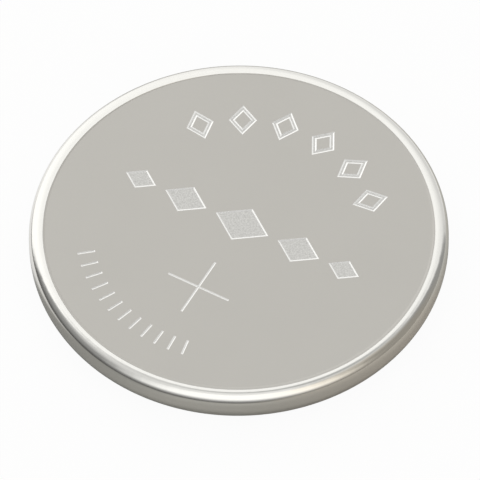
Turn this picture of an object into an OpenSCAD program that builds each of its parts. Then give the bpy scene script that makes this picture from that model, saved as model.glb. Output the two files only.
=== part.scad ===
// Lithium coin cell, 12.5 mm across and 1.6 mm high, lying on its negative cap.
// The origin is the centre of the negative terminal's flat face, and +Z points out
// of the positive terminal. Every section is drawn as radius against height.

/* [Cell] */
// Overall diameter
cell_d = 12.5; // [11.6:0.1:16]
// Overall height across both terminals
cell_h = 1.6; // [1.35:0.05:2.2]

/* [Positive can] */
// Sheet thickness of the can
can_t = 0.18; // [0.14:0.01:0.22]
// Inside bend radius between the can's rim and its wall
can_bend_r = 0.14; // [0.02:0.01:0.2]
// Width of the flat crown of the rim, inside that bend
crown_w = 0.03; // [0.02:0.01:0.3]
// Depth of the coined satin face below the crown
face_depth = 0.01; // [0.005:0.005:0.04]
// Width of the bevel from the crown down to the satin face
bevel_w = 0.05; // [0.01:0.01:0.1]
// Height of the crimped edge above the negative terminal
crimp_lift = 0.25; // [0.1:0.01:0.28]
// Length of the crimp's flat lip past its bend
lip_w = 0.05; // [0.02:0.01:0.12]

/* [Gasket] */
// Thickness of the gasket between can and cap
gasket_t = 0.2; // [0.16:0.01:0.24]
// Thickness of the gasket's lip inside the cap's skirt
gasket_lip_t = 0.2; // [0.12:0.01:0.28]
// Gap between that lip's end and the bend of the skirt
gasket_lip_gap = 0.04; // [0.01:0.01:0.08]
// Recess of the gasket's visible edge above the crimped lip
gasket_recess = 0.05; // [0.02:0.01:0.1]

/* [Negative cap] */
// Sheet thickness of the cap
cap_t = 0.2; // [0.14:0.01:0.22]
// Inside bend radius at the edge of the terminal face
cap_bend_r = 0.1; // [0.04:0.01:0.12]
// Outside bend radius where the neck meets the ledge
neck_bend_r = 0.1; // [0.04:0.01:0.12]
// Width of the flat ledge that the crimp holds
ledge_w = 0.2; // [0.12:0.01:0.3]
// Inside bend radius where the ledge meets the skirt, where the skirt's height allows
skirt_bend_r = 0.24; // [0.16:0.01:0.3]

/* [Electrodes] */
// Thickness of the lithium disc
lithium_t = 0.25; // [0.15:0.01:0.28]
// Gap between the lithium disc and the cap's bend
lithium_gap = 0.25; // [0.1:0.05:0.6]
// Thickness of the separator
separator_t = 0.12; // [0.06:0.01:0.14]
// Gap between the separator and the cap's neck
separator_gap = 0.06; // [0.04:0.01:0.15]
// Overlap of the separator past the cathode's collector ring
separator_lap = 0.1; // [0.04:0.02:0.3]

/* [Collector ring] */
// Sheet thickness of the ring
ring_t = 0.1; // [0.06:0.01:0.12]
// Height of the ring's wall around the pellet
ring_h = 0.4; // [0.25:0.01:0.5]
// Width of the ring's flange under the pellet
ring_flange_w = 0.5; // [0.25:0.05:1]

/* [Face marks] */
// Depth of every mark
mark_depth = 0.01; // [0.005:0.005:0.05]
// Length of each bar of the polarity cross
cross_span = 2.1; // [1.2:0.1:2.6]
// Width of the bars of the polarity cross
cross_stroke = 0.1; // [0.06:0.01:0.2]
// Distance of the polarity cross from the centre
cross_offset = 2.43; // [2.3:0.05:3]
// Number of open lozenges on the upper arc
arc_count = 6; // [3:1:7]
// Distance from the satin face's edge to the middle of the upper arc's lozenges
arc_inset = 1.8; // [1.5:0.05:2.2]
// Angle between neighbouring lozenges on the upper arc
arc_pitch = 18.4; // [16:0.2:24]
// Radial length of an open lozenge
arc_mark_l = 1.24; // [0.8:0.02:1.3]
// Width of an open lozenge
arc_mark_w = 0.96; // [0.6:0.02:1]
// Width of an open lozenge's stroke
arc_stroke = 0.2; // [0.1:0.01:0.24]
// Number of solid lozenges on each side of the middle one
band_side_count = 2; // [1:1:3]
// Width of the middle lozenge of the band
band_mark_w = 1.95; // [1.6:0.05:2.1]
// Height of the middle lozenge of the band
band_mark_h = 1.4; // [0.8:0.05:1.6]
// How much narrower each lozenge is than its inner neighbour
band_taper = 0.38; // [0.3:0.02:0.44]
// Gap between the tips of neighbouring lozenges
band_gap = 0.16; // [0.08:0.02:0.3]
// Height of the band above the centre of the face
band_offset = 0.2; // [0:0.05:0.6]
// Number of ticks on the lower arc
tick_count = 12; // [4:1:14]
// Angle between neighbouring ticks
tick_pitch = 5.4; // [4:0.2:7]
// Angle of the lower arc's middle, counted from +X
tick_mid_a = 249.5; // [230:0.5:290]
// Distance from the satin face's edge to the middle of the lower arc's ticks
tick_inset = 1.25; // [0.9:0.05:1.8]
// Length of a tick
tick_l = 0.58; // [0.3:0.02:0.7]
// Width of a tick
tick_stroke = 0.12; // [0.06:0.01:0.16]

/* [Hidden] */

// Straight facets in a quarter turn of a bend
BEND_STEPS = 10;
// Facets round a revolved solid, which the solid's true surfaces replace
ROUND_FN = 180;

// Largest share of the skirt's height that its bend takes
BEND_SHARE = 0.75;

// The can's rounded rim, and the satin face sunk inside its crown
cell_r = cell_d / 2;
corner_r = can_bend_r + can_t;
corner_x = cell_r - corner_r;
corner_z = cell_h - corner_r;
crown_r = corner_x - crown_w;
face_r = crown_r - bevel_w;
face_z = cell_h - face_depth;
roof_z = face_z - can_t;

// The cap's skirt, between its ledge and the gasket under the can's roof
ledge_z = crimp_lift + can_t + gasket_t;
skirt_top_z = roof_z - gasket_t;
skirt_bend = min(skirt_bend_r, BEND_SHARE * (skirt_top_z - ledge_z - cap_t));

// Nested bends of the seal: cap, gasket and can turn about one centre.
seal_cap_r = skirt_bend + cap_t;
crimp_r = seal_cap_r + gasket_t + can_t;
seal_x = cell_r - crimp_r;
seal_z = crimp_lift + crimp_r;

// The end of the crimped lip
lip_x = seal_x - lip_w;

// The cap's neck and its terminal face
neck_bend_x = seal_x - ledge_w;
neck_r = neck_bend_x - neck_bend_r;
neck_bend_z = ledge_z - neck_bend_r;
cap_edge_r = cap_bend_r + cap_t;
cap_face_r = neck_r - cap_edge_r;
skirt_r = seal_x + seal_cap_r;

// Electrode stack, from the cap's floor to the can's roof
lithium_r = cap_face_r - lithium_gap;
lithium_top_z = cap_t + lithium_t;
separator_top_z = lithium_top_z + separator_t;
separator_r = neck_r - cap_t - separator_gap;
ring_r = separator_r - separator_lap;
pellet_r = ring_r - ring_t;

// Points of an arc about [x, z], from angle a0 to a1
function arc(x, z, r, a0, a1) = [
    for (i = [0 : BEND_STEPS])
        let (a = a0 + (a1 - a0) * i / BEND_STEPS)
        [x + r * cos(a), z + r * sin(a)]
];

// A list in the opposite order
function reversed(list) = [for (i = [len(list) - 1 : -1 : 0]) list[i]];

// A face of the can, from the crimped lip round to the middle of the roof.
// t is its depth in the sheet: 0 outside, can_t inside.
function can_face(t) = concat(
    [[lip_x, crimp_lift + t]],
    arc(seal_x, seal_z, crimp_r - t, -90, 0),
    arc(corner_x, corner_z, corner_r - t, 0, 90),
    [[crown_r, cell_h - t], [face_r, face_z - t]]
);

// A face of the cap from its neck to the end of its skirt.
// t is its depth in the sheet: 0 outside, cap_t inside.
function cap_skirt_face(t) = concat(
    arc(neck_bend_x, neck_bend_z, neck_bend_r + t, 180, 90),
    arc(seal_x, seal_z, seal_cap_r - t, -90, 0),
    [[skirt_r - t, skirt_top_z]]
);

// A face of the cap from the middle of its terminal to its neck
function cap_terminal_face(t) = concat(
    [[0, t]],
    arc(cap_face_r, cap_edge_r, cap_edge_r - t, -90, 0)
);

module turned(points) {
    rotate_extrude($fn = ROUND_FN) polygon(points);
}

module disc(radius, bottom_z, top_z) {
    translate([0, 0, bottom_z])
        cylinder(r = radius, h = top_z - bottom_z, $fn = ROUND_FN);
}

module lozenge(w, h) {
    polygon([[w / 2, 0], [0, h / 2], [-w / 2, 0], [0, -h / 2]]);
}

// A lozenge whose stroke lies inside its outline
module open_lozenge(w, h, stroke) {
    side = norm([w, h]);
    difference() {
        lozenge(w, h);
        lozenge(w - 2 * stroke * side / h, h - 2 * stroke * side / w);
    }
}

// Places its child count times along an arc about the face's centre,
// each turned so that its own +Y points outwards
module along_arc(count, radius, mid_a, pitch) {
    for (i = [0 : count - 1])
        rotate(mid_a - 90 + (i - (count - 1) / 2) * pitch)
            translate([0, radius]) children();
}

module polarity_cross() {
    translate([0, -cross_offset]) {
        square([cross_span, cross_stroke], center = true);
        square([cross_stroke, cross_span], center = true);
    }
}

// Distance of the band's lozenge number i from the middle one
function band_x(i) = i * (band_mark_w + band_gap) - band_taper * i * i / 2;

module lozenge_band() {
    aspect = band_mark_h / band_mark_w;
    for (i = [-band_side_count : band_side_count]) {
        w = band_mark_w - band_taper * abs(i);
        translate([sign(i) * band_x(abs(i)), band_offset])
            lozenge(w, w * aspect);
    }
}

module face_marks() {
    polarity_cross();
    lozenge_band();
    along_arc(arc_count, face_r - arc_inset, 90, arc_pitch)
        open_lozenge(arc_mark_w, arc_mark_l, arc_stroke);
    along_arc(tick_count, face_r - tick_inset, tick_mid_a, tick_pitch)
        square([tick_stroke, tick_l], center = true);
}

// Drawn steel cup, mouth down, with its edge crimped in under the gasket
module positive_can() {
    color([0.73, 0.72, 0.7])
        difference() {
            turned(concat(
                can_face(0), [[0, face_z], [0, roof_z]], reversed(can_face(can_t))
            ));
            translate([0, 0, face_z - mark_depth])
                linear_extrude(2 * mark_depth) face_marks();
        }
}

// Drawn steel hat: terminal face, neck, ledge under the crimp and skirt
module negative_cap() {
    color([0.76, 0.75, 0.73])
        turned(concat(
            cap_terminal_face(0), cap_skirt_face(0),
            reversed(cap_skirt_face(cap_t)), reversed(cap_terminal_face(cap_t))
        ));
}

// Moulded ring, as crimped: it fills the space from the can's inside to the
// cap's outside, and holds the end of the skirt in a groove
module gasket() {
    edge_z = crimp_lift + gasket_recess;
    lip_out_r = skirt_r - cap_t;
    lip_in_r = lip_out_r - gasket_lip_t;
    lip_z = seal_z + gasket_lip_gap;
    color([0.25, 0.25, 0.26])
        turned(concat(
            [[lip_x, edge_z]], can_face(can_t),
            [[lip_in_r, roof_z], [lip_in_r, lip_z]],
            [[lip_out_r, lip_z], [lip_out_r, skirt_top_z]],
            reversed(cap_skirt_face(0)),
            [[neck_r, edge_z]]
        ));
}

// Pressed manganese dioxide, notched round its edge for the collector ring
module cathode_pellet() {
    notch_r = ring_r - ring_flange_w;
    color([0.1, 0.1, 0.1]) {
        disc(pellet_r, separator_top_z, roof_z - ring_t);
        disc(notch_r, roof_z - ring_t, roof_z);
    }
}

// Thin steel ring of L section, round the pellet and against the can's roof
module collector_ring() {
    flange_r = ring_r - ring_flange_w;
    color([0.62, 0.62, 0.6])
        turned([
            [flange_r, roof_z], [flange_r, roof_z - ring_t],
            [pellet_r, roof_z - ring_t], [pellet_r, roof_z - ring_h],
            [ring_r, roof_z - ring_h], [ring_r, roof_z]
        ]);
}

// Non-woven disc that keeps the electrodes apart
module separator() {
    color([0.93, 0.93, 0.9])
        disc(separator_r, lithium_top_z, separator_top_z);
}

// Lithium foil disc, pressed on the cap's floor
module lithium_disc() {
    color([0.68, 0.69, 0.7])
        disc(lithium_r, cap_t, lithium_top_z);
}

positive_can();
negative_cap();
gasket();
cathode_pellet();
collector_ring();
separator();
lithium_disc();
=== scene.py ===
import math

import bpy
from mathutils import Matrix, Vector


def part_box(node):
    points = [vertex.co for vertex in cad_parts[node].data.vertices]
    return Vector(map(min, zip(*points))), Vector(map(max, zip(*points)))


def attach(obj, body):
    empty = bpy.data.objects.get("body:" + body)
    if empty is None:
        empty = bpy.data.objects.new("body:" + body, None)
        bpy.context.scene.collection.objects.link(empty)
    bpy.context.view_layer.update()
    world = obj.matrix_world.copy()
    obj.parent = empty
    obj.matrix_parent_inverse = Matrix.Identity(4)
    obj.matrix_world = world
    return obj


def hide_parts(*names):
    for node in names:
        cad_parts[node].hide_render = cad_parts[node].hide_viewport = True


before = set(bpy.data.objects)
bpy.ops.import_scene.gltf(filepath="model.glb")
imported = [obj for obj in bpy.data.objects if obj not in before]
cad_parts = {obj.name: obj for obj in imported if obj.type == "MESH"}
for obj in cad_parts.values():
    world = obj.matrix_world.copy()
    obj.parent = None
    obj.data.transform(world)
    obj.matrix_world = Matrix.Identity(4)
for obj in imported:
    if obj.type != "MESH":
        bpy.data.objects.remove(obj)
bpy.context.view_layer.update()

MM = 0.001

# Sizes read off the frame
CELL_R, _, CELL_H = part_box("positive_can")[1]
CRIMP_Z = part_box("positive_can")[0][2]
ROOF_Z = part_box("cathode_pellet")[1][2]
CAP_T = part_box("lithium_disc")[0][2]
SKIRT_R, _, SKIRT_TOP_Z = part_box("negative_cap")[1]
GASKET_EDGE_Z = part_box("gasket")[0][2]

# Sizes of the can. From the face a steep foot rises to a gentle slope up to the crown
CAN_BEND_R = 0.14 * MM
CROWN_W = 0.03 * MM
FACE_DEPTH = 0.01 * MM
BEVEL_W = 0.13 * MM
STEP_W = 0.04 * MM
CROWN_RISE = 0.002 * MM
LIP_W = 0.05 * MM
EDGE_ROUND = 0.005 * MM

# Sizes of the cap
SKIRT_BEND_R = 0.24 * MM
NECK_BEND_R = 0.1 * MM
CAP_BEND_R = 0.1 * MM
LEDGE_W = 0.2 * MM

# Sizes of the gasket's lip inside the skirt
GASKET_LIP_T = 0.2 * MM
GASKET_LIP_GAP = 0.04 * MM

# Marks on the face. A cutter is twice as high as its mark is deep, and over that height
# its walls lean in by the slope
MARK_DEPTH = 0.008 * MM
MARK_SLOPE = 0.09 * MM
BAR_DEPTH = 0.005 * MM
BAR_SLOPE = 0.055 * MM
# A cutter's face that points this far up or down is its floor or its top
LEVEL_SHARE = 0.995
CROSS_SPAN = 2.1 * MM
CROSS_STROKE = 0.12 * MM
CROSS_OFFSET = 2.43 * MM
ARC_COUNT = 6
ARC_INSET = 1.85 * MM
ARC_MID_A = math.radians(90)
ARC_PITCH = math.radians(18.4)
ARC_MARK_L = 1.24 * MM
ARC_MARK_W = 0.96 * MM
ARC_STROKE = 0.23 * MM
BAND_SIDE_COUNT = 2
BAND_MARK_W = 1.95 * MM
BAND_MARK_H = 1.4 * MM
BAND_TAPER = 0.38 * MM
BAND_GAP = 0.16 * MM
BAND_OFFSET = 0.2 * MM
TICK_COUNT = 12
TICK_PITCH = math.radians(5.4)
TICK_MID_A = math.radians(249.5)
TICK_INSET = 1.3 * MM
TICK_L = 0.58 * MM
TICK_STROKE = 0.125 * MM

# How finely round stretches are cut
ROUND_SEGMENTS = 360
BEND_STEPS = 24
SMOOTH_LIMIT = math.radians(4.2)
# Flat stretch kept beside a bend, so that the bend doesn't shade the flat
LEAD = 0.012 * MM
WELD = 0.0002 * MM

# Lines that follow from those sizes
FACE_Z = CELL_H - FACE_DEPTH
CAN_T = FACE_Z - ROOF_Z
GASKET_T = CELL_R - CAN_T - SKIRT_R
CORNER_R = CAN_BEND_R + CAN_T
CROWN_R = CELL_R - CORNER_R - CROWN_W
FACE_R = CROWN_R - BEVEL_W
SEAL_CAP_R = SKIRT_BEND_R + CAP_T
CRIMP_R = SEAL_CAP_R + GASKET_T + CAN_T
SEAL_X = CELL_R - CRIMP_R
SEAL_Z = CRIMP_Z + CRIMP_R
LIP_X = SEAL_X - LIP_W
LEDGE_Z = CRIMP_Z + CAN_T + GASKET_T
NECK_R = SEAL_X - LEDGE_W - NECK_BEND_R
CAP_EDGE_R = CAP_BEND_R + CAP_T
CAP_FACE_R = NECK_R - CAP_EDGE_R

# The photograph's camera: it looks from this azimuth and elevation, a little rolled
VIEW_AZIMUTH = math.radians(30)
VIEW_ELEVATION = math.radians(53.8)
VIEW_ROLL = math.radians(-0.76)
VIEW_DISTANCE = 300 * MM
VIEW_SHIFT_RIGHT = 0.027 * MM
VIEW_SHIFT_UP = 0.61 * MM
FOCAL_PX = 10045
PHOTO_PX = 480
SENSOR_MM = 36.0

# The can's finishes. The satin zone is struck a little off the axis, towards the cross
SATIN_R = 5.842 * MM
SATIN_SHIFT = 0.0235 * MM
SATIN_FADE = 0.01 * MM
SATIN = (0.607, 0.591, 0.555, 1)
POLISHED = (0.93, 0.92, 0.885, 1)
DRAWN = (0.80, 0.79, 0.76, 1)
BLACK = (0, 0, 0, 1)
# The drawn wall begins within the rim's corner. Low down it is darkened with painted shade
WALL_SHARES = (0.7, 0.3)
LOW_WALL_Z = (0.75 * MM, 1.05 * MM)
LOW_WALL_SHADE = 0.3

# The floor, which is kept clear of the cap's flat, so that the two don't flicker
FLOOR_HALF = 3.0
FLOOR_DROP = 0.005 * MM
FLOOR_WHITE = (0.97, 0.97, 0.97, 1)
FLOOR_SEEN = 0.95
# What the metal mirrors of the floor: its tones, which are painted shade, and how much of it glows
# by itself, which to the left is a painted glow
FLOOR_LEFT_SHADE = (0.47, 0.47, 0.455, 1)
FLOOR_FRONT_SHADE = (0.64, 0.635, 0.61, 1)
FLOOR_WARM_SHADE = (0.63, 0.595, 0.545, 1)
FLOOR_CLOSE_SHADOW = (0.55, 0.55, 0.54, 1)
FAR_GLOW = 0.5
LEFT_PATCH_PAINTED_GLOW = 0.6
FAR_LEFT_SHADE = 0.7
# Where the tones change: away from the axis, to the right of it and ahead, away from the camera
FAR_AWAY = (9 * MM, 20 * MM)
CLOSE_AWAY = (8 * MM, 16 * MM)
BACK_LEAN = 0.8
BACK_AHEAD = (3.6 * MM, 6.2 * MM)
BACK_SHARE = (0.45, 0.65)
FRONT_RIGHT = (-6.5 * MM, -2 * MM)
WARM_RIGHT = (-1 * MM, 6 * MM)
WARM_AHEAD = (-3 * MM, 2 * MM)
FAR_LEFT_SHARE = (0.0, 0.5)
CLOSE_RIGHT = (-6.5 * MM, -3 * MM)
LEFT_PATCH_RIGHT = (-6.8 * MM, -5.8 * MM)
LEFT_PATCH_AHEAD = (-1.5 * MM, 0)

# The room's glow, by height from 0 at the horizon to 1 overhead. The left and right walls
# gain light higher up
LEFT_WALL = 0.11
LEFT_WALL_GAIN = 0.18
LEFT_WALL_GAIN_Z = (0.0, 0.5)
LEFT_TOP_GAIN = 0.46
LEFT_TOP_Z = (0.55, 1.0)
RIGHT_WALL = 0.30
RIGHT_WALL_GAIN = 0.35
RIGHT_WALL_GAIN_Z = (0.7, 1.0)
RIGHTWARD = (-0.6, 0.6)
# The bright sweep behind loses light to the right and at its top, sooner there beside its middle
SWEEP = 1.15
SWEEP_RIGHT_LOSS = 0.45
SWEEP_RIGHT_GAIN = 0.2
SWEEP_RIGHT_GAIN_Z = (0.3, 0.8)
SWEEP_TOP_LOSS = 0.5
SWEEP_TOP_Z = (0.85, 0.95)
SWEEP_SIDE_DROP = 0.05
SWEEP_SIDE = (0.2, 0.5)
SWEEP_EDGE = (0.5, 0.64)
SWEEP_LEFT_REACH = 0.1
# The softbox over the front, and what hangs straight overhead
SOFTBOX = 0.30
SOFTBOX_GAIN = 0.85
SOFTBOX_GAIN_Z = (0.1, 0.62)
SOFTBOX_EDGE = (0.3, 0.9)
OVERHEAD = 0.86
OVERHEAD_Z = (0.965, 0.995)
# The light is warmer to the right and in front
ROOM_TINT = (1.0, 1.0, 0.99, 1)
WARM_TINT = (1.03, 0.965, 0.86, 1)
WARM_SIDE = (0.1, 0.8)
WARM_BACK = (0.0, 0.5)
WARM_Z = (0.88, 0.99)


class Wire:
    """A node's output. Python's operators on it add Math nodes."""

    def __init__(self, graph, socket):
        self.graph = graph
        self.socket = socket

    def other(self, name):
        return Wire(self.graph, self.socket.node.outputs[name])

    def math(self, operation, *values):
        links = dict(enumerate(values))
        return self.graph.add("ShaderNodeMath", {"operation": operation}, links)

    def __add__(self, value):
        return self.math("ADD", self, value)

    def __sub__(self, value):
        return self.math("SUBTRACT", self, value)

    def __mul__(self, value):
        return self.math("MULTIPLY", self, value)

    def __truediv__(self, value):
        return self.math("DIVIDE", self, value)

    def __mod__(self, value):
        return self.math("MODULO", self, value)

    def __lt__(self, value):
        return self.math("LESS_THAN", self, value)

    def __gt__(self, value):
        return self.math("GREATER_THAN", self, value)

    def __radd__(self, value):
        return self.math("ADD", value, self)

    def __rsub__(self, value):
        return self.math("SUBTRACT", value, self)

    def __rmul__(self, value):
        return self.math("MULTIPLY", value, self)

    def __rtruediv__(self, value):
        return self.math("DIVIDE", value, self)

    def floor(self):
        return self.math("FLOOR", self)

    def cos(self):
        return self.math("COSINE", self)

    def sin(self):
        return self.math("SINE", self)

    def sign(self):
        return self.math("SIGN", self)

    def abs(self):
        return self.math("ABSOLUTE", self)

    def root(self):
        return self.math("SQRT", self)

    def step(self, low, high):
        """0 below low, 1 above high, and smooth between them."""
        settings = {"interpolation_type": "SMOOTHSTEP"}
        return self.graph.add("ShaderNodeMapRange", settings, {0: self, 1: low, 2: high})


class Graph:
    """A node tree, to which one method adds every node."""

    def __init__(self, tree):
        self.tree = tree

    def add(self, kind, settings=None, links=None, out=0):
        node = self.tree.nodes.new(kind)
        for name, value in (settings or {}).items():
            if name == "stops":
                self.set_stops(node.color_ramp, value)
            else:
                setattr(node, name, value)
        for name, value in (links or {}).items():
            for item in value if isinstance(value, list) else [value]:
                self.feed(node.inputs[name], item)
        return Wire(self, node.outputs[out]) if len(node.outputs) else node

    def feed(self, socket, value):
        if isinstance(value, Wire):
            self.tree.links.new(value.socket, socket)
        else:
            socket.default_value = value

    def set_stops(self, ramp, stops):
        while len(ramp.elements) < len(stops):
            ramp.elements.new(1)
        for element, (place, colour) in zip(ramp.elements, stops):
            element.position = place
            element.color = colour

    def vector(self, x, y, z):
        return self.add("ShaderNodeCombineXYZ", None, {0: x, 1: y, 2: z})

    def split(self, vector):
        x = self.add("ShaderNodeSeparateXYZ", None, {0: vector})
        return x, x.other("Y"), x.other("Z")

    def scaled(self, vector, factor):
        return self.add(
            "ShaderNodeVectorMath", {"operation": "MULTIPLY"}, {0: vector, 1: factor}
        )

    def mix(self, factor, a, b):
        """Colours a and b, mixed by factor."""
        return self.add(
            "ShaderNodeMix", {"data_type": "RGBA"}, {0: factor, 6: a, 7: b}, out=2
        )

    def noise(self, vector, scale, detail=2.0, roughness=0.5):
        return self.add(
            "ShaderNodeTexNoise", None,
            {"Vector": vector, "Scale": scale, "Detail": detail, "Roughness": roughness},
        )


class GeometryGraph(Graph):
    """A geometry node tree with named inputs for its sizes."""

    SOCKETS = {
        float: "NodeSocketFloat", int: "NodeSocketInt",
        bpy.types.Material: "NodeSocketMaterial", bpy.types.Object: "NodeSocketObject",
    }

    def __init__(self, name, **inputs):
        super().__init__(bpy.data.node_groups.new(name, "GeometryNodeTree"))
        face = self.tree.interface
        face.new_socket("Geometry", in_out="INPUT", socket_type="NodeSocketGeometry")
        face.new_socket("Geometry", in_out="OUTPUT", socket_type="NodeSocketGeometry")
        self.values = inputs
        self.names = {}
        for key, value in inputs.items():
            kind = next(s for t, s in self.SOCKETS.items() if isinstance(value, t))
            label = key.replace("_", " ").capitalize()
            item = face.new_socket(label, in_out="INPUT", socket_type=kind)
            self.names[key] = item
        self.source = self.tree.nodes.new("NodeGroupInput")

    def __getitem__(self, key):
        if key == "geometry":
            return Wire(self, self.source.outputs["Geometry"])
        return Wire(self, self.source.outputs[self.names[key].name])

    def node(self, kind, settings=None, links=None, out=0):
        return self.add("GeometryNode" + kind, settings, links, out)

    def join(self, *parts):
        return self.node("JoinGeometry", None, {0: list(parts)})

    def moved(self, geometry, offset=(0, 0, 0), turn=(0, 0, 0), size=(1, 1, 1)):
        return self.node(
            "Transform", None,
            {"Geometry": geometry, "Translation": offset, "Rotation": turn, "Scale": size},
        )

    def placed(self, geometry, position):
        return self.node("SetPosition", None, {"Geometry": geometry, "Position": position})

    def boolean(self, operation, first, *others):
        if operation == "DIFFERENCE":
            links = {"Mesh 1": first, "Mesh 2": list(others)}
        else:
            links = {"Mesh 2": [first, *others]}
        settings = {"operation": operation, "solver": "EXACT"}
        return self.node("MeshBoolean", settings, links)

    def finish(self, geometry, *finishes):
        """Ends the tree in Realize Instances and a Set Material for each part and its material."""
        geometry = self.node("RealizeInstances", None, {0: geometry})
        for part, material in finishes:
            geometry = self.node(
                "SetMaterial", None,
                {"Geometry": geometry, "Selection": part, "Material": material},
            )
        end = self.tree.nodes.new("NodeGroupOutput")
        self.tree.links.new(geometry.socket, end.inputs[0])

    def run(self, mesh):
        """A plain mesh of what the tree makes of this mesh."""
        holder = bpy.data.objects.new("holder", mesh)
        bpy.context.scene.collection.objects.link(holder)
        modifier = holder.modifiers.new("tree", "NODES")
        modifier.node_group = self.tree
        for key, value in self.values.items():
            modifier[self.names[key].identifier] = value
        bpy.context.view_layer.update()
        graph = bpy.context.evaluated_depsgraph_get()
        made = bpy.data.meshes.new_from_object(holder.evaluated_get(graph))
        holder.modifiers.remove(modifier)
        bpy.data.objects.remove(holder)
        return made


def new_piece(name, mesh, slot, *nodes):
    """An object for a finished mesh, which stands for CAD nodes."""
    mesh.name = name
    piece = bpy.data.objects.new(name, mesh)
    bpy.context.scene.collection.objects.link(piece)
    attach(piece, "root")
    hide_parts(*nodes)
    return piece


def section_mesh(corners, closed):
    """A chain of edges in the XZ plane. Each corner is radius, height and bend radius."""
    count = len(corners)
    edges = [(i, i + 1) for i in range(count - 1)]
    if closed:
        edges.append((count - 1, 0))
    mesh = bpy.data.meshes.new("section")
    mesh.from_pydata([(r, 0, z) for r, z, bend in corners], edges, [])
    bends = mesh.attributes.new("bend", "FLOAT", "POINT")
    bends.data.foreach_set("value", [bend for r, z, bend in corners])
    return mesh


def turned(corners, closed, material):
    """A section turned about Z: a ring if it is closed, else with a disc at each end."""
    tree = GeometryGraph(
        "turned ring" if closed else "turned shell",
        segments=ROUND_SEGMENTS, bend_steps=BEND_STEPS, weld=WELD,
        smooth_limit=SMOOTH_LIMIT, material=material,
    )
    curve = tree.node("MeshToCurve", None, {0: tree["geometry"]})
    bend = tree.node("InputNamedAttribute", {"data_type": "FLOAT"}, {"Name": "bend"})
    curve = tree.node(
        "FilletCurve", {"mode": "POLY"},
        {"Curve": curve, "Radius": bend, "Count": tree["bend_steps"]},
    )
    count = tree.node(
        "AttributeDomainSize", {"component": "CURVE"}, {0: curve}, out="Point Count"
    )
    rows = count + 1 if closed else count
    grid = tree.node(
        "MeshGrid", None,
        {"Vertices X": tree["segments"] + 1, "Vertices Y": rows},
    )
    index = tree.node("InputIndex")
    column = (index / rows).floor()
    row = (index - column * rows) % count
    place = tree.node("InputPosition")

    def section_point(i):
        sample = tree.node(
            "SampleIndex", {"data_type": "FLOAT_VECTOR", "domain": "POINT"},
            {"Geometry": curve, "Value": place, "Index": i},
        )
        x, _, z = tree.split(sample)
        return x, z

    radius, height = section_point(row)
    angle = column * math.tau / tree["segments"]
    spot = tree.vector(radius * angle.cos(), radius * angle.sin(), height)
    shell = tree.placed(grid, spot)
    parts = [tree.node("FlipFaces", None, {0: shell})]
    if not closed:
        for i in (0, count - 1):
            end_radius, end_height = section_point(i)
            disc = tree.node(
                "MeshCircle", {"fill_type": "NGON"},
                {"Vertices": tree["segments"], "Radius": end_radius},
            )
            disc = tree.moved(disc, tree.vector(0, 0, end_height))
            parts.append(disc if i == 0 else tree.node("FlipFaces", None, {0: disc}))
    body = tree.join(*parts)
    body = tree.node("MergeByDistance", None, {"Geometry": body, "Distance": tree["weld"]})
    tree.finish(shaded_by_angle(tree, body, tree["smooth_limit"]), (True, tree["material"]))
    return tree.run(section_mesh(corners, closed))


def shaded_by_angle(tree, body, limit):
    """Smooth faces, with sharp edges where the surface turns by more than the limit."""
    body = tree.node(
        "SetShadeSmooth", {"domain": "FACE"}, {"Geometry": body, "Shade Smooth": True}
    )
    edge_angle = tree.node("InputMeshEdgeAngle")
    return tree.node(
        "SetShadeSmooth", {"domain": "EDGE"},
        {"Geometry": body, "Selection": edge_angle > limit, "Shade Smooth": False},
    )


def can_section():
    """From the satin face's edge over the rim, down the outside and back up the inside."""
    wall_in = CELL_R - CAN_T
    return [
        (FACE_R - LEAD, FACE_Z, 0),
        (FACE_R, FACE_Z, EDGE_ROUND),
        (FACE_R + STEP_W, CELL_H - CROWN_RISE, EDGE_ROUND),
        (CROWN_R, CELL_H, 0),
        (CELL_R, CELL_H, CORNER_R),
        (CELL_R, CRIMP_Z, CRIMP_R),
        (LIP_X, CRIMP_Z, EDGE_ROUND),
        (LIP_X, CRIMP_Z + CAN_T, EDGE_ROUND),
        (wall_in, CRIMP_Z + CAN_T, CRIMP_R - CAN_T),
        (wall_in, CELL_H - CAN_T, CAN_BEND_R),
        (CROWN_R, CELL_H - CAN_T, 0),
        (FACE_R, ROOF_Z, 0),
    ]


def cap_section():
    """From the terminal face, up the outside of neck and skirt and back down inside."""
    skirt_in = SKIRT_R - CAP_T
    neck_in = NECK_R - CAP_T
    return [
        (CAP_FACE_R - LEAD, 0, 0),
        (NECK_R, 0, CAP_EDGE_R),
        (NECK_R, LEDGE_Z, NECK_BEND_R),
        (SKIRT_R, LEDGE_Z, SEAL_CAP_R),
        (SKIRT_R, SKIRT_TOP_Z, EDGE_ROUND),
        (skirt_in, SKIRT_TOP_Z, EDGE_ROUND),
        (skirt_in, LEDGE_Z + CAP_T, SKIRT_BEND_R),
        (neck_in, LEDGE_Z + CAP_T, NECK_BEND_R + CAP_T),
        (neck_in, CAP_T, CAP_BEND_R),
        (CAP_FACE_R - LEAD, CAP_T, 0),
    ]


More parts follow.
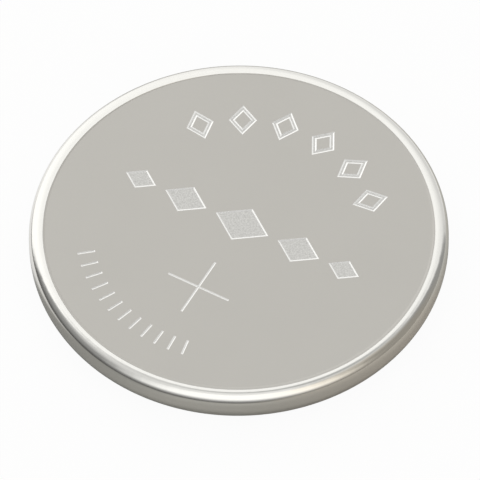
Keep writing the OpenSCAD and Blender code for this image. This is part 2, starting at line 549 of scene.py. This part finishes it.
def gasket_section():
    """Round the ring, from its visible edge, outwards and back along the cap."""
    wall_in = CELL_R - CAN_T
    lip_out = SKIRT_R - CAP_T
    lip_in = lip_out - GASKET_LIP_T
    lip_z = SEAL_Z + GASKET_LIP_GAP
    return [
        (NECK_R, GASKET_EDGE_Z, 0),
        (LIP_X, GASKET_EDGE_Z, 0),
        (LIP_X, CRIMP_Z + CAN_T, 0),
        (wall_in, CRIMP_Z + CAN_T, CRIMP_R - CAN_T),
        (wall_in, CELL_H - CAN_T, CAN_BEND_R),
        (CROWN_R, CELL_H - CAN_T, 0),
        (FACE_R, ROOF_Z, 0),
        (lip_in, ROOF_Z, 0),
        (lip_in, lip_z, 0),
        (lip_out, lip_z, 0),
        (lip_out, SKIRT_TOP_Z, 0),
        (SKIRT_R, SKIRT_TOP_Z, 0),
        (SKIRT_R, LEDGE_Z, SEAL_CAP_R),
        (NECK_R, LEDGE_Z, NECK_BEND_R),
    ]


def sunk_bar(tree, width, length):
    """A cutter for a straight stroke, whose walls lean in towards its floor."""
    size = tree.vector(width, length, tree["bar_depth"] * 2)
    bar = tree.node("MeshCube", None, {"Size": size})
    x, y, z = tree.split(tree.node("InputPosition"))
    lean = (z < 0) * tree["bar_slope"]
    inward = tree.vector(x - x.sign() * lean, y - y.sign() * lean, z)
    return tree.placed(bar, inward)


def sunk_lozenge(tree, width, height, slope):
    """A cutter for a lozenge. With a negative slope its walls lean out instead."""
    side = (width * width + height * height).root()
    shrink = 1 - slope * side * 2 / (width * height)
    depth = tree["mark_depth"]
    cone = tree.node(
        "MeshCone", None,
        {"Vertices": 4, "Radius Top": 0.5, "Radius Bottom": shrink * 0.5, "Depth": depth * 2},
    )
    return tree.moved(cone, tree.vector(0, 0, 0 - depth), size=tree.vector(width, height, 1))


def along_arc(tree, shape, count, radius, middle, pitch):
    """Copies of a shape on an arc about the face's centre, their own +Y outwards."""
    line = tree.node("MeshLine", None, {"Count": count})
    index = tree.node("InputIndex")
    angle = (index - (count - 1) / 2) * pitch + middle
    line = tree.placed(line, tree.vector(radius * angle.cos(), radius * angle.sin(), 0))
    turn = tree.vector(0, 0, angle - math.pi / 2)
    return tree.node(
        "InstanceOnPoints", None, {"Points": line, "Instance": shape, "Rotation": turn}
    )


def cross_cutter(tree):
    """The polarity cross: two strokes of the same length."""
    arm = sunk_bar(tree, tree["cross_span"], tree["cross_stroke"])
    other_arm = tree.moved(arm, turn=(0, 0, math.pi / 2))
    cross = tree.boolean("UNION", arm, other_arm)
    return tree.moved(cross, tree.vector(0, 0 - tree["cross_offset"], 0))


def tick_cutters(tree):
    """Short strokes along the face's edge."""
    tick = sunk_bar(tree, tree["tick_stroke"], tree["tick_length"])
    return along_arc(
        tree, tick, tree["tick_count"], tree["tick_radius"], tree["tick_middle"],
        tree["tick_pitch"],
    )


def arc_cutters(tree):
    """Open lozenges on an arc."""
    width = tree["arc_mark_width"]
    length = tree["arc_mark_length"]
    rim = tree["arc_stroke"] * (width * width + length * length).root() * 2
    outline = sunk_lozenge(tree, width, length, tree["mark_slope"])
    island = sunk_lozenge(tree, width - rim / length, length - rim / width, 0 - tree["mark_slope"])
    return along_arc(
        tree, tree.boolean("DIFFERENCE", outline, island), tree["arc_count"],
        tree["arc_radius"], tree["arc_middle"], tree["arc_pitch"],
    )


def band_cutters(tree):
    """Filled lozenges in a row, smaller towards its ends."""
    widest = tree["band_mark_width"]
    taper = tree["band_taper"]
    lozenges = []
    for i in range(-BAND_SIDE_COUNT, BAND_SIDE_COUNT + 1):
        steps = abs(i)
        width = widest - taper * steps
        reach = (widest + tree["band_gap"]) * steps - taper * (steps * steps / 2)
        height = width * (tree["band_mark_height"] / widest)
        lozenge = sunk_lozenge(tree, width, height, tree["mark_slope"])
        place = tree.vector(reach * math.copysign(1, i), tree["band_offset"], 0)
        lozenges.append(tree.moved(lozenge, place))
    return tree.join(*lozenges)


def mark_cutters(edge_finish, floor_finish):
    """Every mark of the face as a closed cutter that reaches from the floor upwards."""
    tree = GeometryGraph(
        "face marks", face_height=FACE_Z, mark_depth=MARK_DEPTH, mark_slope=MARK_SLOPE,
        bar_depth=BAR_DEPTH, bar_slope=BAR_SLOPE, level_share=LEVEL_SHARE,
        cross_span=CROSS_SPAN, cross_stroke=CROSS_STROKE, cross_offset=CROSS_OFFSET,
        arc_count=ARC_COUNT, arc_radius=CROWN_R - ARC_INSET, arc_middle=ARC_MID_A,
        arc_pitch=ARC_PITCH, arc_mark_length=ARC_MARK_L, arc_mark_width=ARC_MARK_W,
        arc_stroke=ARC_STROKE, band_mark_width=BAND_MARK_W, band_mark_height=BAND_MARK_H,
        band_taper=BAND_TAPER, band_gap=BAND_GAP, band_offset=BAND_OFFSET,
        tick_count=TICK_COUNT, tick_radius=CROWN_R - TICK_INSET, tick_middle=TICK_MID_A,
        tick_pitch=TICK_PITCH, tick_length=TICK_L, tick_stroke=TICK_STROKE,
        edge_finish=edge_finish, floor_finish=floor_finish,
    )
    marks = tree.join(cross_cutter(tree), tick_cutters(tree), arc_cutters(tree), band_cutters(tree))
    _, _, up = tree.split(tree.node("InputNormal"))
    level = up.abs() > tree["level_share"]
    tree.finish(
        tree.moved(marks, tree.vector(0, 0, tree["face_height"])),
        (True, tree["edge_finish"]), (level, tree["floor_finish"]),
    )
    return tree.run(bpy.data.meshes.new("empty"))


def cut_marks(can_mesh, marks_mesh, can_finish):
    """The can with its marks sunk into the face. They keep the finishes of their cutters."""
    cutters = bpy.data.objects.new("cutters", marks_mesh)
    bpy.context.scene.collection.objects.link(cutters)
    tree = GeometryGraph(
        "cut marks", cutters=cutters, smooth_limit=SMOOTH_LIMIT, can_finish=can_finish
    )
    marks = tree.node("ObjectInfo", None, {"Object": tree["cutters"]}, out="Geometry")
    can = tree.boolean("DIFFERENCE", tree["geometry"], marks)
    own = tree.node("MaterialSelection", None, {0: tree["can_finish"]})
    tree.finish(shaded_by_angle(tree, can, tree["smooth_limit"]), (own, tree["can_finish"]))
    made = tree.run(can_mesh)
    bpy.data.objects.remove(cutters)
    return made


class Finish(Graph):
    """A material: its pattern is laid out in millimetres on the object."""

    def __init__(self, name):
        self.material = bpy.data.materials.new(name)
        self.material.use_nodes = True
        super().__init__(self.material.node_tree)
        self.tree.nodes.clear()
        place = self.add("ShaderNodeTexCoord", out="Object")
        per_mm = 1 / MM
        self.place = self.scaled(place, (per_mm, per_mm, per_mm))
        self.x, self.y, self.z = self.split(self.place)
        self.radius = (self.x * self.x + self.y * self.y).root()

    def round_lines(self, along, across):
        """Coordinates for a pattern that runs round the axis."""
        around = along / self.radius.math("MAXIMUM", self.radius, 0.1)
        return self.vector(
            self.x * around, self.y * around, self.radius * across + self.z * across
        )

    def bump(self, height, depth):
        """A bumped normal. The depth is in millimetres."""
        return self.add("ShaderNodeBump", None, {"Height": height, "Distance": depth * MM})

    def surface(self, **values):
        shader = self.add("ShaderNodeBsdfPrincipled")
        names = {key: key.replace("_", " ").title() for key in values}
        for key, value in values.items():
            self.feed(shader.socket.node.inputs[names[key]], value)
        self.add("ShaderNodeOutputMaterial", None, {"Surface": shader})
        return self.material


def shade(colour, factor):
    """A darker or lighter version of a colour."""
    return tuple(c * factor for c in colour[:3]) + (1,)


def can_steel():
    """Satin inside the step on the face, and polished from there outwards."""
    steel = Finish("can steel")
    on_top = steel.z.step((ROOF_Z + SATIN_FADE * 2) / MM, (ROOF_Z + SATIN_FADE * 6) / MM)
    satin_x = steel.x - SATIN_SHIFT / MM
    satin_y = steel.y + SATIN_SHIFT / MM
    satin_reach = (satin_x * satin_x + satin_y * satin_y).root()
    satin = (1 - satin_reach.step((SATIN_R - SATIN_FADE) / MM, SATIN_R / MM)) * on_top
    grain = steel.noise(steel.place, scale=26, detail=3, roughness=0.6)
    cloud = steel.noise(steel.place, scale=0.5, detail=2)
    lines = steel.noise(steel.round_lines(along=1.2, across=40), scale=1, detail=3, roughness=0.6)
    waves = steel.noise(steel.round_lines(along=7, across=0.6), scale=1, detail=2)
    wall_low, wall_high = ((CELL_H - share * CORNER_R) / MM for share in WALL_SHARES)
    wall = 1 - steel.z.step(wall_low, wall_high)
    low_wall_shade = 1 - steel.z.step(LOW_WALL_Z[0] / MM, LOW_WALL_Z[1] / MM)
    tone = steel.mix(cloud * 0.5, SATIN, shade(SATIN, 0.94))
    plain = steel.mix(wall, POLISHED, DRAWN)
    lined = steel.mix(wall, shade(POLISHED, 0.86), shade(DRAWN, 0.7))
    bright = steel.mix(lines * 0.4, plain, lined)
    # Painted shade: low on the wall the colour is mixed towards black
    bright = steel.mix(low_wall_shade * LOW_WALL_SHADE, bright, BLACK)
    satin_rough = 0.40 + grain * 0.08
    bright_rough = 0.10 + lines * 0.10
    height = satin * grain * 0.6 + (1 - satin) * (lines * 0.10 + waves * 5.0)
    return steel.surface(
        base_color=steel.mix(satin, bright, tone),
        metallic=1.0,
        roughness=bright_rough + satin * (satin_rough - bright_rough),
        normal=steel.bump(height, depth=0.0025),
    )


def mark_edge_steel():
    """The leaning walls of the marks, burnished bright."""
    steel = Finish("mark edge steel")
    grain = steel.noise(steel.place, scale=30, detail=2)
    return steel.surface(
        base_color=(0.98, 0.975, 0.955, 1),
        metallic=1.0,
        roughness=0.18 + grain * 0.12,
        normal=steel.bump(grain, depth=0.003),
    )


def mark_floor_steel():
    """The frosted floor of the marks."""
    steel = Finish("mark floor steel")
    grain = steel.noise(steel.place, scale=22, detail=4, roughness=0.7)
    frost = steel.add(
        "ShaderNodeValToRGB",
        {"stops": [(0.3, (0.62, 0.615, 0.595, 1)), (0.7, (0.90, 0.895, 0.875, 1))]},
        {0: grain},
    )
    return steel.surface(
        base_color=frost,
        metallic=1.0,
        roughness=0.5 + grain * 0.2,
        normal=steel.bump(grain, depth=0.006),
    )


def cap_steel():
    """Drawn steel with fine lines round the axis."""
    steel = Finish("cap steel")
    lines = steel.noise(steel.round_lines(along=1.5, across=30), scale=1, detail=3, roughness=0.6)
    cloud = steel.noise(steel.place, scale=0.6, detail=2)
    tone = steel.mix(cloud * 0.6, (0.76, 0.75, 0.72, 1), (0.68, 0.67, 0.64, 1))
    return steel.surface(
        base_color=tone,
        metallic=1.0,
        roughness=0.24 + lines * 0.14,
        normal=steel.bump(lines, depth=0.0012),
    )


def gasket_plastic():
    plastic = Finish("gasket plastic")
    grain = plastic.noise(plastic.place, scale=14, detail=3)
    tone = plastic.mix(grain, (0.085, 0.085, 0.09, 1), (0.125, 0.125, 0.13, 1))
    return plastic.surface(
        base_color=tone, roughness=0.42 + grain * 0.14, normal=plastic.bump(grain, depth=0.002)
    )


def cathode_mix():
    """Pressed black powder with paler specks."""
    powder = Finish("cathode mix")
    grain = powder.noise(powder.place, scale=16, detail=5, roughness=0.7)
    tone = powder.add(
        "ShaderNodeValToRGB",
        {"stops": [(0.45, (0.022, 0.022, 0.024, 1)), (0.75, (0.09, 0.09, 0.09, 1))]},
        {0: grain},
    )
    return powder.surface(
        base_color=tone, roughness=0.86 + grain * 0.1, normal=powder.bump(grain, depth=0.02)
    )


def ring_steel():
    steel = Finish("ring steel")
    lines = steel.noise(steel.round_lines(along=2, across=24), scale=1, detail=2)
    tone = steel.mix(lines, (0.66, 0.655, 0.64, 1), (0.56, 0.555, 0.54, 1))
    return steel.surface(
        base_color=tone, metallic=1.0, roughness=0.3 + lines * 0.15,
        normal=steel.bump(lines, depth=0.002),
    )


def separator_felt():
    """Non-woven fibres, lighter where they bunch."""
    felt = Finish("separator felt")
    fibres = felt.noise(felt.scaled(felt.place, (1, 6, 1)), scale=5, detail=4, roughness=0.7)
    cross_fibres = felt.noise(felt.scaled(felt.place, (6, 1, 1)), scale=5, detail=4, roughness=0.7)
    weave = fibres.math("MAXIMUM", fibres, cross_fibres)
    tone = felt.mix(weave, (0.74, 0.73, 0.69, 1), (0.93, 0.92, 0.89, 1))
    return felt.surface(base_color=tone, roughness=0.9 - weave * 0.1,
                        normal=felt.bump(weave, depth=0.015))


def lithium_foil():
    """Soft rolled foil with faint roll lines and a dull bloom."""
    foil = Finish("lithium foil")
    lines = foil.noise(foil.scaled(foil.place, (1, 14, 1)), scale=2, detail=2)
    bloom = foil.noise(foil.place, scale=1.4, detail=4, roughness=0.7)
    tone = foil.mix(bloom, (0.72, 0.73, 0.75, 1), (0.55, 0.56, 0.59, 1))
    return foil.surface(
        base_color=tone, metallic=0.9, roughness=0.34 + bloom * 0.2,
        normal=foil.bump(lines, depth=0.003),
    )


def build_cell():
    steel = can_steel()
    marks = mark_cutters(mark_edge_steel(), mark_floor_steel())
    can = cut_marks(turned(can_section(), False, steel), marks, steel)
    new_piece("can_body", can, "can_steel", "positive_can")
    cap = turned(cap_section(), False, cap_steel())
    new_piece("cap_body", cap, "cap_steel", "negative_cap")
    ring = turned(gasket_section(), True, gasket_plastic())
    new_piece("sealing_ring", ring, "gasket_plastic", "gasket")
    inner = {
        "cathode_pellet": cathode_mix(),
        "collector_ring": ring_steel(),
        "separator": separator_felt(),
        "lithium_disc": lithium_foil(),
    }
    for name, material in inner.items():
        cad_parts[name].material_slots[0].material = material


def place_camera():
    """The camera of the photograph: far off, long and a little rolled."""
    turn = Matrix.Rotation(VIEW_AZIMUTH, 3, "Z")
    lift, drop = math.sin(VIEW_ELEVATION), math.cos(VIEW_ELEVATION)
    back = turn @ Vector((0, -drop, lift))
    side = turn @ Vector((1, 0, 0))
    rise = turn @ Vector((0, lift, drop))
    right = side * math.cos(VIEW_ROLL) + rise * math.sin(VIEW_ROLL)
    up = rise * math.cos(VIEW_ROLL) - side * math.sin(VIEW_ROLL)
    place = back * VIEW_DISTANCE + right * VIEW_SHIFT_RIGHT + up * VIEW_SHIFT_UP
    data = bpy.data.cameras.new("camera")
    data.sensor_width = SENSOR_MM
    data.lens = FOCAL_PX / PHOTO_PX * SENSOR_MM
    camera = bpy.data.objects.new("camera", data)
    bpy.context.scene.collection.objects.link(camera)
    axes = Matrix((right, up, back)).transposed()
    camera.matrix_world = Matrix.Translation(place) @ axes.to_4x4()
    bpy.context.scene.camera = camera


def to_camera_axes(x, y):
    """How far a place lies ahead of the axis, away from the camera, and how far to the right."""
    ahead = y * math.cos(VIEW_AZIMUTH) - x * math.sin(VIEW_AZIMUTH)
    right = x * math.cos(VIEW_AZIMUTH) + y * math.sin(VIEW_AZIMUTH)
    return ahead, right


def lay_floor():
    """A plain white floor. Seen directly or in the metal it is a little lightened, but the metal
    also mirrors painted shade, a painted contact shadow and a painted glow on it.
    """
    mesh = bpy.data.meshes.new("floor")
    h = FLOOR_HALF
    mesh.from_pydata([(-h, -h, 0), (h, -h, 0), (h, h, 0), (-h, h, 0)], [], [(0, 1, 2, 3)])
    floor = bpy.data.objects.new("floor", mesh)
    floor.location.z = -FLOOR_DROP
    bpy.context.scene.collection.objects.link(floor)
    material = bpy.data.materials.new("floor paper")
    material.use_nodes = True
    paper = Graph(material.node_tree)
    paper.tree.nodes.clear()
    path = paper.add("ShaderNodeLightPath", out="Is Camera Ray")
    mirrored = path.other("Is Glossy Ray") + path.other("Is Transmission Ray")
    x, y, _ = paper.split(paper.add("ShaderNodeTexCoord", out="Object"))
    ahead, right = to_camera_axes(x, y)
    reach = (x * x + y * y).root()
    far = reach.step(*FAR_AWAY)
    beside = (ahead - right * BACK_LEAN).step(*BACK_AHEAD)
    beyond = (ahead / reach).step(*BACK_SHARE)
    pale = beside + far * (beyond - beside)
    # Painted shade for the metal: the floor in front is grey, warm to the right, and dimmed towards
    # black far to the left
    front = paper.mix(right.step(*FRONT_RIGHT), FLOOR_LEFT_SHADE, FLOOR_FRONT_SHADE)
    warm = right.step(*WARM_RIGHT) * (1 - ahead.step(*WARM_AHEAD))
    front = paper.mix(warm, front, FLOOR_WARM_SHADE)
    far_left = far * (1 - (right / reach).step(*FAR_LEFT_SHARE))
    front = paper.mix(far_left * FAR_LEFT_SHADE, front, BLACK)
    # Painted contact shadow: close to the cell, except far to its left, the metal mirrors a grey
    # floor
    close_shadow = (1 - reach.step(*CLOSE_AWAY)) * right.step(*CLOSE_RIGHT)
    behind = paper.mix(close_shadow, FLOOR_WHITE, FLOOR_CLOSE_SHADOW)
    tone = paper.mix(mirrored, FLOOR_WHITE, paper.mix(pale, front, behind))
    lit = paper.add("ShaderNodeBsdfDiffuse", None, {"Color": tone})
    white = paper.add("ShaderNodeEmission", None, {"Color": (1, 1, 1, 1), "Strength": 1.0})
    # Painted glow: a patch of floor beside the cell on its left glows for the metal, which lightens
    # the can's left edge
    left = beside * (1 - right.step(*LEFT_PATCH_RIGHT)) * ahead.step(*LEFT_PATCH_AHEAD) * (1 - far)
    glow = far * beyond * FAR_GLOW + left * LEFT_PATCH_PAINTED_GLOW
    share = path * FLOOR_SEEN + mirrored * glow
    both = paper.add("ShaderNodeMixShader", None, {0: share, 1: lit, 2: white})
    # From underneath the floor is clear, so that the cap can be seen
    clear = paper.add("ShaderNodeBsdfTransparent")
    below = paper.add("ShaderNodeNewGeometry", out="Backfacing")
    below = below.math("MAXIMUM", below, path.other("Transparent Depth") > 0.5)
    sided = paper.add("ShaderNodeMixShader", None, {0: below, 1: both, 2: clear})
    paper.add("ShaderNodeOutputMaterial", None, {"Surface": sided})
    mesh.materials.append(material)


def light_studio():
    """A bright sweep behind the cell and a softbox over its front, between darker sides."""
    world = bpy.data.worlds.new("studio")
    bpy.context.scene.world = world
    world.use_nodes = True
    sky = Graph(world.node_tree)
    sky.tree.nodes.clear()
    x, y, z = sky.split(sky.add("ShaderNodeTexCoord", out="Generated"))
    ahead, right = to_camera_axes(x, y)
    flat = (1 - z * z).math("MAXIMUM", 1 - z * z, 0.0001).root()
    back = ahead / flat
    side = right / flat
    rightward = side.step(*RIGHTWARD)
    left_wall = LEFT_WALL + z.step(*LEFT_WALL_GAIN_Z) * LEFT_WALL_GAIN
    left_wall = left_wall + z.step(*LEFT_TOP_Z) * LEFT_TOP_GAIN
    right_wall = RIGHT_WALL + z.step(*RIGHT_WALL_GAIN_Z) * RIGHT_WALL_GAIN
    walls = left_wall + rightward * (right_wall - left_wall)
    right_loss = SWEEP_RIGHT_LOSS - z.step(*SWEEP_RIGHT_GAIN_Z) * SWEEP_RIGHT_GAIN
    top_start = SWEEP_TOP_Z[0] - side.abs().step(*SWEEP_SIDE) * SWEEP_SIDE_DROP
    top_loss = z.step(top_start, SWEEP_TOP_Z[1]) * SWEEP_TOP_LOSS
    sweep = SWEEP - rightward * right_loss - top_loss
    softbox = SOFTBOX + z.step(*SOFTBOX_GAIN_Z) * SOFTBOX_GAIN
    behind = (back + (1 - rightward) * SWEEP_LEFT_REACH).step(*SWEEP_EDGE)
    glow = walls + behind * (sweep - walls)
    glow = glow + (0 - back).step(*SOFTBOX_EDGE) * (softbox - walls)
    glow = glow + z.step(*OVERHEAD_Z) * (OVERHEAD - glow)
    warm = side.step(*WARM_SIDE) * (1 - back.step(*WARM_BACK)) * (1 - z.step(*WARM_Z))
    tint = sky.mix(warm, ROOM_TINT, WARM_TINT)
    backdrop = sky.add("ShaderNodeBackground", None, {"Color": tint, "Strength": glow})
    sky.add("ShaderNodeOutputWorld", None, {"Surface": backdrop})


place_camera()
build_cell()
lay_floor()
light_studio()

bpy.context.scene.view_settings.view_transform = "Standard"
